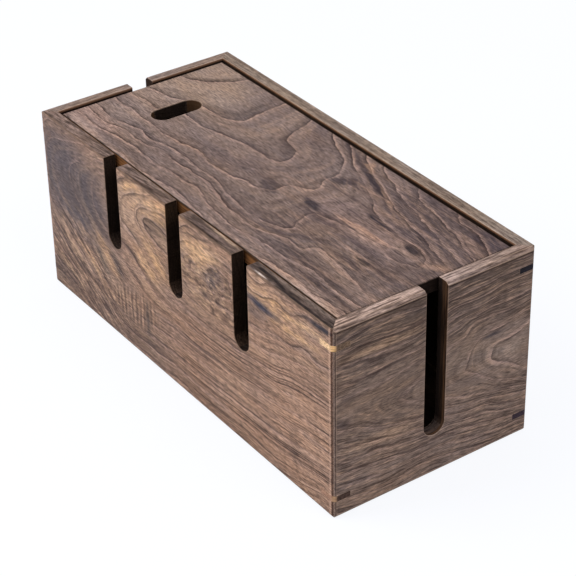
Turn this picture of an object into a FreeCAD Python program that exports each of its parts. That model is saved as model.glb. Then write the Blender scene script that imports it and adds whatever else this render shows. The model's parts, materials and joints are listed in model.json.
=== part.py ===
"""Wooden box that hides a power strip and its cables.

Four mitred walls stand round a plywood bottom that sits in a groove. Short splines, the
corner keys, are let into every mitre near its top and its foot. U-shaped slots in the front
and in both ends let the cables out. The lid drops in between the walls, rests on four cleats
and lifts out by a finger slot.

Frame: millimetres, +X to the right along the front wall, +Y to the back, +Z up. The origin is
at the middle of the underside. The front wall faces -Y.
"""
import FreeCAD, Part
import math
import os
import Sketcher

doc = FreeCAD.newDocument("CableBox")

# Driving sizes in millimetres, one named cell each
sheet = doc.addObject("Spreadsheet::Sheet", "Sizes")
DRIVING_SIZES = [
    ("box_length", 400.0, "outside, along the front wall"),
    ("box_width", 182.0, "outside, from front to back"),
    ("box_height", 164.0, "from the foot to the rim"),
    ("board_thickness", 11.0, "all four walls"),
    ("outer_chamfer", 2.5, "on the corners, round the foot and on the end walls' rim"),
    ("edge_easing", 0.6, "on the rim's other edges and on top of the lid"),
    ("slot_width", 19.0, "cable slots, one cutter wide"),
    ("slot_spacing", 89.0, "between the front slots"),
    ("slot_offset", 2.0, "of the middle front slot, to the left of the centre"),
    ("front_slot_depth", 78.0, "below the rim"),
    ("end_slot_depth", 128.0, "below the rim"),
    ("key_leg", 15.0, "how far a corner key runs along each wall"),
    ("key_thickness", 5.0, "one saw kerf"),
    ("upper_key_drop", 16.0, "from the rim to the middle of the upper keys"),
    ("lower_key_rise", 18.0, "from the foot to the middle of the lower keys"),
    ("panel_thickness", 6.0, "plywood bottom"),
    ("panel_rise", 8.0, "from the foot to the underside of the bottom"),
    ("groove_depth", 5.0, "in the walls, for the bottom"),
    ("groove_clearance", 0.3, "above the bottom in its groove"),
    ("panel_gap", 0.8, "from the bottom's edge to the end of its groove"),
    ("lid_thickness", 11.0, "solid board"),
    ("lid_recess", 2.0, "from the rim down to the lid"),
    ("lid_clearance", 2.0, "from the lid's edge to the walls"),
    ("finger_slot_width", 19.0, "along the box"),
    ("finger_slot_length", 45.0, "from front to back"),
    ("finger_slot_inset", 50.0, "from the lid's left edge to the slot's middle"),
    ("cleat_depth", 10.0, "out from the end wall"),
    ("cleat_height", 12.0, "under the lid"),
    ("cleat_length", 50.0, "along the end wall"),
    ("cleat_corner_gap", 5.0, "from the cleat to the corner"),
    ("overrun", 10.0, "how far a cut starts outside the wood"),
]
# Sizes that follow from the driving ones
DERIVED_SIZES = [
    ("half_length", "=box_length / 2"),
    ("half_width", "=box_width / 2"),
    ("half_slot", "=slot_width / 2"),
    ("half_finger_slot", "=finger_slot_width / 2"),
    ("groove_top", "=panel_rise + panel_thickness + groove_clearance"),
    ("panel_half_length", "=half_length - board_thickness + groove_depth - panel_gap"),
    ("panel_half_width", "=half_width - board_thickness + groove_depth - panel_gap"),
    ("lid_half_length", "=half_length - board_thickness - lid_clearance"),
    ("lid_half_width", "=half_width - board_thickness - lid_clearance"),
    ("lid_top", "=box_height - lid_recess"),
    ("lid_underside", "=lid_top - lid_thickness"),
    ("finger_slot_x", "=finger_slot_inset - lid_half_length"),
    ("finger_slot_reach", "=finger_slot_length / 2 - half_finger_slot"),
    ("upper_key_foot", "=box_height - upper_key_drop - key_thickness / 2"),
    ("lower_key_foot", "=lower_key_rise - key_thickness / 2"),
    ("cleat_foot", "=lid_underside - cleat_height"),
    ("cleat_far", "=half_width - board_thickness - cleat_corner_gap"),
    ("cleat_near", "=cleat_far - cleat_length"),
]


def fill_sheet():
    """Writes each size, its name and what it measures, a row each."""
    rows = [(alias, str(value), note) for alias, value, note in DRIVING_SIZES]
    rows += [(alias, formula, "derived") for alias, formula in DERIVED_SIZES]
    for number, (alias, text, note) in enumerate(rows, start=1):
        sheet.set("A%d" % number, alias.replace("_", " "))
        sheet.set("B%d" % number, text)
        sheet.set("C%d" % number, note)
        sheet.setAlias("B%d" % number, alias)
    doc.recompute()


def bind(thing, prop, expression):
    """Binds a property to the sheet: names of cells become references to it."""
    thing.setExpression(prop, in_sheet(expression))


def in_sheet(expression):
    """The same expression with the sheet's name before each cell's name."""
    words = expression.replace("(", "( ").replace(")", " )").split(" ")
    return " ".join("Sizes." + word if word[:1].isalpha() else word for word in words)


def new_body(label):
    body = doc.addObject("PartDesign::Body", label)
    body.Label = label
    return body


def sketch_on(body, name, role, height=None):
    """A sketch on one of the body's own origin planes, raised above it where asked."""
    sketch = body.newObject("Sketcher::SketchObject", name)
    plane = next(p for p in body.Origin.OriginFeatures if p.Role == role)
    sketch.AttachmentSupport = (plane, "")
    sketch.MapMode = "FlatFace"
    if height:
        bind(sketch, "AttachmentOffset.Base.z", height)
    return sketch


def value(expression):
    """What an expression in the sheet's names comes to now."""
    return float(sheet.evalExpression(in_sheet(expression)))


def point(place):
    return FreeCAD.Vector(value(place[0]), value(place[1]), 0)


def fix_point(sketch, line, end, place):
    """Ties a point of a sketch to the sheet: an expression for x, one for y, or None for free."""
    for kind, expression in zip(("DistanceX", "DistanceY"), place):
        if expression:
            number = sketch.addConstraint(
                Sketcher.Constraint(kind, -1, 1, line, end, value(expression))
            )
            bind(sketch, "Constraints[%d]" % number, expression)


def outline(sketch, corners):
    """Adds a closed outline of straight lines through the corners."""
    count = len(corners)
    first = len(sketch.Geometry)
    for k in range(count):
        sketch.addGeometry(Part.LineSegment(point(corners[k]), point(corners[(k + 1) % count])))
    for k, corner in enumerate(corners):
        sketch.addConstraint(
            Sketcher.Constraint("Coincident", first + (k - 1) % count, 2, first + k, 1)
        )
        fix_point(sketch, first + k, 1, corner)


def round_slot(sketch, middle, half, foot, top, round_top=False):
    """Adds a slot with a round foot, and a round or an open top.

    foot and top are the heights at which its straight sides end.
    """
    upright = FreeCAD.Vector(0, 0, 1)
    left = "%s - %s" % (middle, half)
    right = "%s + %s" % (middle, half)
    foot_circle = Part.Circle(point((middle, foot)), upright, value(half))
    top_circle = Part.Circle(point((middle, top)), upright, value(half))
    left_side = sketch.addGeometry(Part.LineSegment(point((left, top)), point((left, foot))))
    foot_arc = sketch.addGeometry(Part.ArcOfCircle(foot_circle, math.pi, 2 * math.pi))
    right_side = sketch.addGeometry(Part.LineSegment(point((right, foot)), point((right, top))))
    if round_top:
        closing = sketch.addGeometry(Part.ArcOfCircle(top_circle, 0, math.pi))
    else:
        closing = sketch.addGeometry(Part.LineSegment(point((right, top)), point((left, top))))
    ring = [left_side, foot_arc, right_side, closing]
    for piece, following in zip(ring, ring[1:] + ring[:1]):
        sketch.addConstraint(Sketcher.Constraint("Coincident", piece, 2, following, 1))
    fix_point(sketch, left_side, 1, (left, top))
    fix_point(sketch, left_side, 2, (left, foot))
    fix_point(sketch, right_side, 1, (right, foot))
    fix_point(sketch, right_side, 2, (right, top))
    fix_point(sketch, foot_arc, 3, (None, foot))
    if round_top:
        fix_point(sketch, closing, 3, (None, top))


def pad(body, sketch, length, both_ways=False):
    feature = body.newObject("PartDesign::Pad", sketch.Name + "Pad")
    feature.Profile = sketch
    feature.Midplane = both_ways
    bind(feature, "Length", length)
    doc.recompute()
    return feature


def pocket(body, sketch, depth=None):
    """Cuts upwards from the sketch by a depth, or right through the body both ways."""
    before = body.Shape.Volume
    feature = body.newObject("PartDesign::Pocket", sketch.Name + "Pocket")
    feature.Profile = sketch
    if depth:
        feature.Reversed = True
        bind(feature, "Length", depth)
    else:
        feature.Type = "ThroughAll"
        feature.Midplane = True
    doc.recompute()
    if not body.Shape.Volume < before:
        raise RuntimeError(feature.Name + " cuts nothing")
    return feature


def ease_top_edges(body, height):
    """Takes the sharpness off every edge that lies in a body's top face, at that height."""
    tip = body.Tip
    names = []
    for number, edge in enumerate(tip.Shape.Edges, start=1):
        if all(math.isclose(corner.Z, height) for corner in edge.Vertexes):
            names.append("Edge%d" % number)
    feature = body.newObject("PartDesign::Chamfer", body.Name + "Easing")
    feature.Base = (tip, names)
    bind(feature, "Size", "edge_easing")
    doc.recompute()


def place(body, base, quarter_turns=0):
    """Turns a finished piece about the upright axis and moves it to its place in the box."""
    turn = FreeCAD.Rotation(FreeCAD.Vector(0, 0, 1), math.degrees(quarter_turns * math.pi / 2))
    body.Placement = FreeCAD.Placement(FreeCAD.Vector(0, 0, 0), turn)
    for axis, expression in zip("xyz", base):
        if expression:
            bind(body, "Placement.Base." + axis, expression)


def wall(label, half_run, slots, rim_chamfer):
    """One wall in its own frame: outer face at y = 0, inner face at the board's thickness.

    half_run names half the wall's outside length. slots lists each cable slot's middle and
    the depth of its foot below the rim. rim_chamfer names the chamfer outside the rim.
    """
    body = new_body(label)
    section = sketch_on(body, label + "_section", "YZ_Plane")
    outline(section, [
        ("0", "outer_chamfer"),
        ("0", "box_height - " + rim_chamfer),
        (rim_chamfer, "box_height"),
        ("board_thickness - edge_easing", "box_height"),
        ("board_thickness", "box_height - edge_easing"),
        ("board_thickness", "groove_top"),
        ("board_thickness - groove_depth", "groove_top"),
        ("board_thickness - groove_depth", "panel_rise"),
        ("board_thickness", "panel_rise"),
        ("board_thickness", "0"),
        ("outer_chamfer", "0"),
    ])
    pad(body, section, "2 * " + half_run, both_ways=True)

    # Mitres at both ends, with half of the corner's chamfer on the tip of each
    mitres = sketch_on(body, label + "_mitres", "XY_Plane")
    for side in ("", "-1 * "):
        outline(mitres, [
            (side + "( %s - outer_chamfer - overrun )" % half_run, "-1 * overrun"),
            (side + "( %s - outer_chamfer / 2 )" % half_run, "outer_chamfer / 2"),
            (side + "( %s - board_thickness - overrun )" % half_run, "board_thickness + overrun"),
            (side + "( %s + overrun )" % half_run, "board_thickness + overrun"),
            (side + "( %s + overrun )" % half_run, "-1 * overrun"),
        ])
    pocket(body, mitres)

    # The chamfer on the rim round the corner runs on over a long wall's tips
    if rim_chamfer != "outer_chamfer":
        tips = sketch_on(body, label + "_tips", "XZ_Plane")
        for side in ("", "-1 * "):
            outline(tips, [
                (side + "( %s - outer_chamfer - overrun )" % half_run, "box_height + overrun"),
                (side + "( %s + overrun )" % half_run, "box_height - outer_chamfer - overrun"),
                (side + "( %s + overrun )" % half_run, "box_height + overrun"),
            ])
        pocket(body, tips)

    # Kerfs for the corner keys, cut across the mitres at two heights
    for level in ("upper", "lower"):
        kerfs = sketch_on(body, "%s_%s_kerfs" % (label, level), "XY_Plane", level + "_key_foot")
        for side in ("", "-1 * "):
            outline(kerfs, [
                (side + "( %s - key_leg - overrun )" % half_run, "-1 * overrun"),
                (side + "( %s + overrun )" % half_run, "key_leg + overrun"),
                (side + "( %s + overrun )" % half_run, "-1 * overrun"),
            ])
        pocket(body, kerfs, "key_thickness")

    # Cable slots, round at the foot and open at the rim
    for number, (middle, depth) in enumerate(slots, start=1):
        slot = sketch_on(body, "%s_slot_%d" % (label, number), "XZ_Plane")
        round_slot(
            slot, middle, "half_slot",
            "box_height - %s + half_slot" % depth, "box_height + overrun",
        )
        pocket(body, slot)
    return body


def corner_key(label, height):
    """A triangular spline with its square corner at the origin and its legs along +X and +Y."""
    body = new_body(label)
    shape = sketch_on(body, label + "_shape", "XY_Plane", height)
    outline(shape, [
        ("outer_chamfer", "0"),
        ("key_leg", "0"),
        ("0", "key_leg"),
        ("0", "outer_chamfer"),
    ])
    pad(body, shape, "key_thickness")
    return body


def block(label, x_range, y_range, foot, height):
    """A plain board between two places along X and two along Y."""
    body = new_body(label)
    shape = sketch_on(body, label + "_shape", "XY_Plane", foot)
    outline(shape, [
        (x_range[0], y_range[0]),
        (x_range[1], y_range[0]),
        (x_range[1], y_range[1]),
        (x_range[0], y_range[1]),
    ])
    pad(body, shape, height)
    return body


fill_sheet()
pieces = []

# The four walls
front_slots = [
    ("0 - slot_offset - slot_spacing", "front_slot_depth"),
    ("0 - slot_offset", "front_slot_depth"),
    ("slot_spacing - slot_offset", "front_slot_depth"),
]
end_slots = [("0", "end_slot_depth")]
front_wall = wall("front_wall", "half_length", front_slots, "edge_easing")
place(front_wall, (None, "-1 * half_width", None))
back_wall = wall("back_wall", "half_length", [], "edge_easing")
place(back_wall, (None, "half_width", None), 2)
right_end_wall = wall("right_end_wall", "half_width", end_slots, "outer_chamfer")
place(right_end_wall, ("half_length", None, None), 1)
left_end_wall = wall("left_end_wall", "half_width", end_slots, "outer_chamfer")
place(left_end_wall, ("-1 * half_length", None, None), 3)
pieces += [front_wall, back_wall, right_end_wall, left_end_wall]

# The bottom, in the groove of all four walls
bottom_panel = block(
    "bottom_panel", ("-1 * panel_half_length", "panel_half_length"),
    ("-1 * panel_half_width", "panel_half_width"), "panel_rise", "panel_thickness",
)
pieces.append(bottom_panel)

# The lid, with its finger slot near the left end
lid = block(
    "lid", ("-1 * lid_half_length", "lid_half_length"),
    ("-1 * lid_half_width", "lid_half_width"), "lid_underside", "lid_thickness",
)
finger_slot = sketch_on(lid, "lid_finger_slot", "XY_Plane")
round_slot(
    finger_slot, "finger_slot_x", "half_finger_slot",
    "-1 * finger_slot_reach", "finger_slot_reach", round_top=True,
)
pocket(lid, finger_slot)
ease_top_edges(lid, value("lid_top"))
pieces.append(lid)

# Two corner keys in each mitre, named by the walls that they tie together
corners = [
    ("front_left", "-1 * half_length", "-1 * half_width", 0),
    ("front_right", "half_length", "-1 * half_width", 1),
    ("back_right", "half_length", "half_width", 2),
    ("back_left", "-1 * half_length", "half_width", 3),
]
for corner, x, y, turns in corners:
    for level in ("upper", "lower"):
        key = corner_key("corner_key_%s_%s" % (corner, level), level + "_key_foot")
        place(key, (x, y, None), turns)
        pieces.append(key)

# Cleats under the lid's ends, one on each side of the end slots
for end, inward in (("left", 1), ("right", -1)):
    wall_face = "%d * ( half_length - board_thickness )" % -inward
    cleat_face = "%d * ( half_length - board_thickness - cleat_depth )" % -inward
    for side, sign in (("front", -1), ("back", 1)):
        cleat = block(
            "lid_cleat_%s_%s" % (end, side), (wall_face, cleat_face),
            ("%d * cleat_near" % sign, "%d * cleat_far" % sign), "cleat_foot", "cleat_height",
        )
        pieces.append(cleat)

doc.recompute()

for thing in doc.Objects:
    if "Invalid" in thing.State or "Error" in thing.State:
        raise RuntimeError(thing.Name + " did not recompute")
os.makedirs("parts", exist_ok=True)
for piece in pieces:
    if piece.Shape.isNull() or not piece.Shape.isValid() or len(piece.Shape.Solids) != 1:
        raise RuntimeError(piece.Label + " is not one valid solid")
    piece.Shape.exportStep("parts/%s.step" % piece.Label)
print(len(pieces), "pieces written")
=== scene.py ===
"""A walnut box that hides a power strip and its cables, seen from above its front right corner.

The boards are drawn as they come off the bench: planed, mitred, slotted, glued and oiled. The
pieces' sizes come from the frame, in metres. The woods are mixed in millimetres.
"""

import json
import math

import bmesh
import bpy
import numpy
from mathutils import Matrix, Vector


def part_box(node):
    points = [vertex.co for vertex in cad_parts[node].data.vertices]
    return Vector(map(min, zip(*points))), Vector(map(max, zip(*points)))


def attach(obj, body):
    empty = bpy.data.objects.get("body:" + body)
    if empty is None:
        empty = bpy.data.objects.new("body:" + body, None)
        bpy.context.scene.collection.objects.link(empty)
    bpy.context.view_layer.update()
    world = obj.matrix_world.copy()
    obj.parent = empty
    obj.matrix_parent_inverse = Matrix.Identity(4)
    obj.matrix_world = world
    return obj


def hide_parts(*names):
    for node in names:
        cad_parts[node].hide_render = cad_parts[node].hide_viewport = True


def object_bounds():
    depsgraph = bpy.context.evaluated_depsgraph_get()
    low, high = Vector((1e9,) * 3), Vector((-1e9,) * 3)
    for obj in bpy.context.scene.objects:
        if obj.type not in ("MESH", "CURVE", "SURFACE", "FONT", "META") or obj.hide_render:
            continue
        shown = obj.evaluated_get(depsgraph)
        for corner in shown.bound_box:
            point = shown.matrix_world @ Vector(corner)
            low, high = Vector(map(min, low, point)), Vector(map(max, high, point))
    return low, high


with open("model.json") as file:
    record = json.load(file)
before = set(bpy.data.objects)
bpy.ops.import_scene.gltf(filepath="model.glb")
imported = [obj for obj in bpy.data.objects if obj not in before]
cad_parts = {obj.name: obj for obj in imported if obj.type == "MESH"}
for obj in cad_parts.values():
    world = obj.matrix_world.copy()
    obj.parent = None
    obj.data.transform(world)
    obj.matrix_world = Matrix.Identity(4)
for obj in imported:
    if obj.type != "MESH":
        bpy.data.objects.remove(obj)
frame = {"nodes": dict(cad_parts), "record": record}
cad_low, cad_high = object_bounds()
scene = bpy.context.scene

# The front wall. A walnut board, mitred at both ends and ploughed for the bottom, with three
# cable slots routed down from its rim. It was sawn beside a fork in the trunk, so the grain
# sweeps round the slots, is grey and wide at the left and runs straight and red to the right.
MM = 0.001
ALONG_X = Vector((1, 0, 0))
ALONG_Y = Vector((0, 1, 0))
UPWARD = Vector((0, 0, 1))
EASED = 0.45 * MM
SLOT_ROUND = 0.55 * MM
FOOT_ROUND = 1.3 * MM
TIGHT_JOINT = 0.12 * MM
IN_WALL = 12 * MM
IN_KEY = 16 * MM
IN_CHAMFER = 2.6 * MM
FOOT_HEIGHT = 2.6 * MM
FOOT_DEPTH = 3 * MM
SAME_PLACE = 0.01 * MM
slot_boxes = {o["name"]: o["box_m"] for o in frame["record"]["physics"]["openings"]}
front_slots = [
    sum(corner[0] for corner in slot_boxes["front_slot_" + where]) / 2
    for where in ("left", "middle", "right")
]
slot_reach = (slot_boxes["right_end_slot"][1][1] - slot_boxes["right_end_slot"][0][1]) / 2 + MM
kerfs = [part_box("corner_key_front_left_" + level) for level in ("lower", "upper")]


def from_outside(place):
    """How far in a place lies from the box's nearer end, and from its nearer side."""
    return cad_high.x - abs(place.x), cad_high.y - abs(place.y)


def in_joint(place):
    """True on a mitre's plane or on the mouth of a corner key's kerf."""
    from_end, from_side = from_outside(place)
    on_mitre = abs(from_end - from_side) < SAME_PLACE
    at_kerf = any(low.z - SAME_PLACE < place.z < high.z + SAME_PLACE for low, high in kerfs)
    return on_mitre or (from_end + from_side < IN_KEY and at_kerf)


def in_slot(place):
    """True on the outline of a cable slot."""
    from_end, from_side = from_outside(place)
    across_end = from_end < IN_WALL and abs(place.y) < slot_reach
    across_front = place.y < 0 and from_side < IN_WALL and any(
        abs(place.x - middle) < slot_reach for middle in front_slots
    )
    return across_end or across_front


def arris_width(place):
    """How far an edge is sanded back: most at the foot, hardly at all in a joint."""
    from_end, from_side = from_outside(place)
    if in_joint(place):
        return TIGHT_JOINT
    if place.z < FOOT_HEIGHT and min(from_end, from_side) < FOOT_DEPTH:
        return FOOT_ROUND
    return SLOT_ROUND if in_slot(place) or from_end + from_side < IN_CHAMFER else EASED


SAME_CORNER = 0.002 * MM
FLAT_EDGE = math.radians(0.5)
SHARP_EDGE = math.radians(20)
SLANTED = 0.3
SIDEWAYS = 0.2
FACING = 0.8
SLOT_SHADE = 0.85


def sanded(name, node, along, inward=None, width=arris_width, rim_from=0.95):
    """A copy of a piece with its sharp edges sanded round.

    Its faces are marked: arris is 1 on a rounded edge, the end grain mark is 1 across the
    fibres and 0.85 on a slot's foot, a painted shade there, inner is 1 on a face that looks
    inward, and rim is 1 on one that looks up more than rim_from.
    """
    work = bmesh.new()
    work.from_mesh(frame["nodes"][node].data)
    bmesh.ops.remove_doubles(work, verts=work.verts, dist=SAME_CORNER)
    bmesh.ops.dissolve_limit(work, angle_limit=FLAT_EDGE, verts=work.verts, edges=work.edges)
    weight = work.edges.layers.float.new("bevel_weight_edge")
    for edge in work.edges:
        if edge.calc_face_angle(0) > SHARP_EDGE:
            edge[weight] = width(sum((v.co for v in edge.verts), Vector()) / 2) / FOOT_ROUND
    mesh = bpy.data.meshes.new(name)
    work.to_mesh(mesh)
    work.free()
    mesh.materials.append(None)
    mesh.materials.append(None)
    board = bpy.data.objects.new(name, mesh)
    scene.collection.objects.link(board)
    rounding = board.modifiers.new("Sanding", "BEVEL")
    rounding.limit_method = "WEIGHT"
    rounding.width = FOOT_ROUND
    rounding.segments = 3
    rounding.use_clamp_overlap = False
    rounding.material = 1
    seen = bpy.context.evaluated_depsgraph_get()
    board.data = bpy.data.meshes.new_from_object(board.evaluated_get(seen))
    board.data.name = name
    board.modifiers.clear()
    names = ("arris", "end_grain_and_slot_shade", "inner", "rim")
    for mark in names:
        board.data.attributes.new(mark, "FLOAT", "FACE")
    marks = {mark: board.data.attributes[mark].data for mark in names}
    for face in board.data.polygons:
        normal = face.normal
        slotted = in_slot(face.center)
        rounded = face.material_index == 1
        chamfer = abs(normal.z) < SLANTED < min(abs(normal.x), abs(normal.y))
        across = 0.0 if chamfer and not slotted else normal.dot(along) ** 4
        # A slot's foot takes the end grain's dark colour: a painted shade in the slot.
        if slotted and abs(normal.dot(inward or along)) < SIDEWAYS and not rounded:
            across = max(across, SLOT_SHADE)
        marks["arris"][face.index].value = rounded and not chamfer
        marks["end_grain_and_slot_shade"][face.index].value = across
        marks["inner"][face.index].value = bool(inward) and normal.dot(inward) > FACING
        marks["rim"][face.index].value = normal.z > rim_from
        face.material_index = 0
        face.use_smooth = False
    board.data.materials.pop(index=1)
    return board


RING_GRID = 5 * MM
RING_SLACK = 0.3


def grown(board, along, across, inward, face, drawing, softness, pitch):
    """Writes a board's growth rings on its mesh: their height, and their number to a millimetre.

    drawing is a list of rings, each with its number and the places it runs through on the
    face, in millimetres along and across the board. Between them the rings are smooth. pitch
    is how far apart they lie through the board's thickness.
    """
    work = bmesh.new()
    work.from_mesh(board.data)
    for direction in (along, across):
        reach = [v.co.dot(direction) for v in work.verts]
        cuts = int((max(reach) - min(reach)) / RING_GRID)
        for cut in range(1, cuts):
            everything = work.verts[:] + work.edges[:] + work.faces[:]
            spot = direction * (min(reach) + cut * (max(reach) - min(reach)) / cuts)
            bmesh.ops.bisect_plane(work, geom=everything, plane_co=spot, plane_no=direction)
    work.to_mesh(board.data)
    work.free()
    spots = numpy.array([spot for ring, places in drawing for spot in places], float)
    levels = numpy.array([ring for ring, places in drawing for spot in places], float)
    apart = numpy.linalg.norm(spots[:, None] - spots[None, :], axis=2)
    system = numpy.ones((len(spots) + 1, len(spots) + 1))
    system[:-1, :-1] = numpy.sqrt(apart ** 2 + softness ** 2) - RING_SLACK * numpy.eye(len(spots))
    system[-1, -1] = 0.0
    pull = numpy.linalg.solve(system, numpy.append(levels, 0.0))
    corners = numpy.array([v.co for v in board.data.vertices])
    on_face = numpy.stack([corners @ along, corners @ across], axis=1) / MM
    depth = (corners @ inward + face) / MM
    away = on_face[:, None] - spots[None, :]
    distance = numpy.sqrt((away ** 2).sum(axis=2) + softness ** 2)
    height = distance @ pull[:-1] + pull[-1] + depth / pitch
    slope = numpy.linalg.norm(((pull[:-1] / distance)[:, :, None] * away).sum(axis=1), axis=1)
    for name, values in (("rings", height), ("slope", slope)):
        written = board.data.attributes.new(name, "FLOAT", "POINT")
        written.data.foreach_set("value", values.astype(numpy.float32))


def fit(piece, node, body, material):
    """Puts a finished piece in the place of its plain solid."""
    piece.data.materials[0] = material
    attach(piece, body)
    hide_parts(node)


def tint(red, green, blue):
    """A colour as the eye reads it off a screen, 0 to 255, as light."""
    return tuple(((c / 255 + 0.055) / 1.055) ** 2.4 for c in (red, green, blue)) + (1.0,)


class Finish:
    """A material, mixed step by step. Its places and sizes are in millimetres."""

    NOISE_APART = (731.0, 417.0, 0.0)

    def __init__(self, name):
        self.material = bpy.data.materials.new(name)
        self.material.use_nodes = True
        self.tree = self.material.node_tree
        self.tree.nodes.clear()

    def feed(self, socket, value):
        if isinstance(value, bpy.types.NodeSocket):
            self.tree.links.new(value, socket)
        elif value is not None:
            socket.default_value = value

    def step(self, kind, *values, out=0, named=(), **settings):
        """Adds a node: values are its inputs in order, named ones by name, and out its output."""
        node = self.tree.nodes.new("ShaderNode" + kind)
        for setting, value in settings.items():
            setattr(node, setting, value)
        for socket, value in zip(node.inputs, values):
            self.feed(socket, value)
        for name, value in dict(named).items():
            self.feed(node.inputs[name], value)
        return node.outputs[out] if node.outputs else None

    def calc(self, operation, *values):
        return self.step("Math", *values, operation=operation)

    def times(self, value, *others):
        """The product of two or more values."""
        for other in others:
            value = self.calc("MULTIPLY", value, other)
        return value

    def scaled(self, value, by, plus):
        return self.calc("MULTIPLY_ADD", value, by, plus)

    def ramp(self, value, start, end, low=0.0, high=1.0, **settings):
        """low where a value is at start, high where it is at end, and between them in step."""
        return self.step("MapRange", value, start, end, low, high, **settings)

    def near(self, distance, width):
        """1 at no distance, falling smoothly to 0 at a width."""
        return self.ramp(distance, 0.0, width, 1.0, 0.0, interpolation_type="SMOOTHSTEP")

    def blend(self, share, first, second, how="MIX"):
        """Mixes two colours. The share is how much of the second goes in."""
        node = self.tree.nodes.new("ShaderNodeMix")
        node.data_type = "RGBA"
        node.blend_type = how
        for socket, value in zip((node.inputs[0], *node.inputs[6:8]), (share, first, second)):
            self.feed(socket, value)
        return node.outputs[2]

    def reach(self, direction, place=None):
        """How far a place lies along a direction. If none is given, it is the spot itself."""
        if place is None:
            place = self.step("TexCoord", out=3)
            direction = Vector(direction) / MM
        return self.step("VectorMath", place, direction, operation="DOT_PRODUCT", out=1)

    def off(self, axis, edge):
        """How far in a place lies from the box's outside along an axis."""
        return self.calc("SUBTRACT", edge / MM, self.calc("ABSOLUTE", self.reach(axis)))

    def mark(self, name):
        """A number written on the mesh."""
        return self.step("Attribute", out=2, attribute_name=name, attribute_type="GEOMETRY")

    def board(self, along, across, inward, face):
        """Places on a board: along it, across it, and in from its outer face."""
        depth = self.calc("ADD", self.reach(inward), face / MM)
        return self.step("CombineXYZ", self.reach(along), self.reach(across), depth)

    def grain(self, place, size, seed, detail=2.0, out=0):
        """Noise whose blotches are about size long, wide and deep."""
        apart = [seed * step for step in self.NOISE_APART]
        moved = self.step("VectorMath", place, apart, operation="ADD")
        scaled = self.step("VectorMath", moved, size, operation="DIVIDE")
        return self.step("TexNoise", scaled, None, 1.0, detail, 0.55, out=out)

    def drifting(self, place, far, size, seed):
        """Places pushed about, so that what is drawn on them has a ragged outline."""
        push = self.grain(place, size, seed, detail=3.0, out=1)
        push = self.step("VectorMath", push, (0.5, 0.5, 0.5), operation="SUBTRACT")
        push = self.step("VectorMath", push, far, operation="MULTIPLY")
        return self.step("VectorMath", place, push, operation="ADD")

    def patch(self, place, at, size, turn=0.0, firm=None):
        """1 in the middle of an oval, falling to 0 at its edge. In a firm one the 1 goes wider."""
        local = self.step(
            "Mapping", place, (*at, 0.0), (0.0, 0.0, math.radians(turn)), (*size, 1000.0),
            vector_type="TEXTURE",
        )
        share = self.step("VectorMath", local, operation="LENGTH", out=1)
        share = self.ramp(share, 0.0, 1.0, 1.0, 0.0, interpolation_type="SMOOTHERSTEP")
        return self.calc("MINIMUM", self.times(share, firm), 1.0) if firm else share

    def zoned(self, place, colour, zones, firm=1.0):
        """Tints ovals of a board: each its middle, its half sizes, its turn, how much and what."""
        for at, size, turn, share, tone in zones:
            oval = self.patch(place, at, size, turn, firm)
            colour = self.blend(self.times(oval, share), colour, tint(*tone))
        return colour

    def spread(self, colour, tone, value, start, end, share, within):
        """Stains a colour within a patch, from where a value is at start to fully at end."""
        share = self.times(self.ramp(value, start, end, 0.0, share), within)
        return self.blend(share, colour, tone)

    def veined(self, place, size, seed, start, end, first, second, detail=3.0):
        """Streaks of two colours."""
        streaks = self.ramp(self.grain(place, size, seed, detail), start, end)
        return self.blend(streaks, first, second)

    def rings(self, place, reaches, share=1.0):
        """The growth rings' height and slope, wandering by the reaches, each with its size."""
        slope = self.calc("MAXIMUM", self.mark("slope"), 0.002)
        height = self.mark("rings")
        for number, (reach, size) in enumerate(reaches):
            push = self.calc("SUBTRACT", self.grain(place, size, 40.0 + number), 0.5)
            height = self.scaled(self.times(push, slope, share), reach * 3.0, height)
        return height, slope

    def on_rings(self, place, height, closeness, pace, seed, detail):
        """Noise that follows the rings: the closer, the finer, and at a pace along the board."""
        spot = self.step(
            "CombineXYZ", self.times(height, closeness), self.reach((pace, 0, 0), place), seed
        )
        return self.step("TexNoise", spot, None, 1.0, detail, 0.6)

    def ground(self, place, height, early, late, seed):
        """The wood's ground colour, in broad bands that follow the rings."""
        band = self.on_rings(place, height, 0.8, 0.006, seed, 3.0)
        return self.blend(self.ramp(band, 0.36, 0.66), early, late)

    def streaky(self, place, height, closeness, seed):
        """Soft streaks that follow the rings and break off along the board."""
        return self.ramp(self.on_rings(place, height, closeness, 0.014, seed, 4.0), 0.5, 0.66)

    def lined(self, place, colour, height, slope, seed, dark=0.6, light=0.4, fine=0.5, many=6.0,
              length=100.0):
        """A dark line before and a light one after each ring, and fine lines between them.

        many is how many fine lines lie between two rings, and length is how far they run.
        """
        after = self.calc("FRACT", height)
        before = self.calc("SUBTRACT", 1.0, after)
        fade = self.ramp(self.grain(place, (0.6 * length, 18, 22), seed), 0.36, 0.6, 0.35, 1.0)
        for way, reach, far, soft, width, share, tone in (
            (before, 0.6, 9.0, 0.6, 3.0, dark, tint(50, 36, 36)),
            (after, 0.5, 6.0, 0.5, 3.4, light, tint(186, 154, 140)),
        ):
            distance = self.calc("DIVIDE", way, slope)
            halo = self.times(self.near(way, reach), self.near(distance, far), soft)
            line = self.calc("ADD", halo, self.near(distance, width))
            colour = self.blend(self.times(line, fade, share), colour, tone)
        hair = self.on_rings(place, height, many, 1.0 / length, seed + 0.5, 2.0)
        colour = self.spread(colour, tint(56, 38, 32), hair, 0.5, 0.64, 1.0, fine)
        return self.spread(colour, tint(192, 156, 130), hair, 0.46, 0.34, 0.5, fine)

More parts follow.
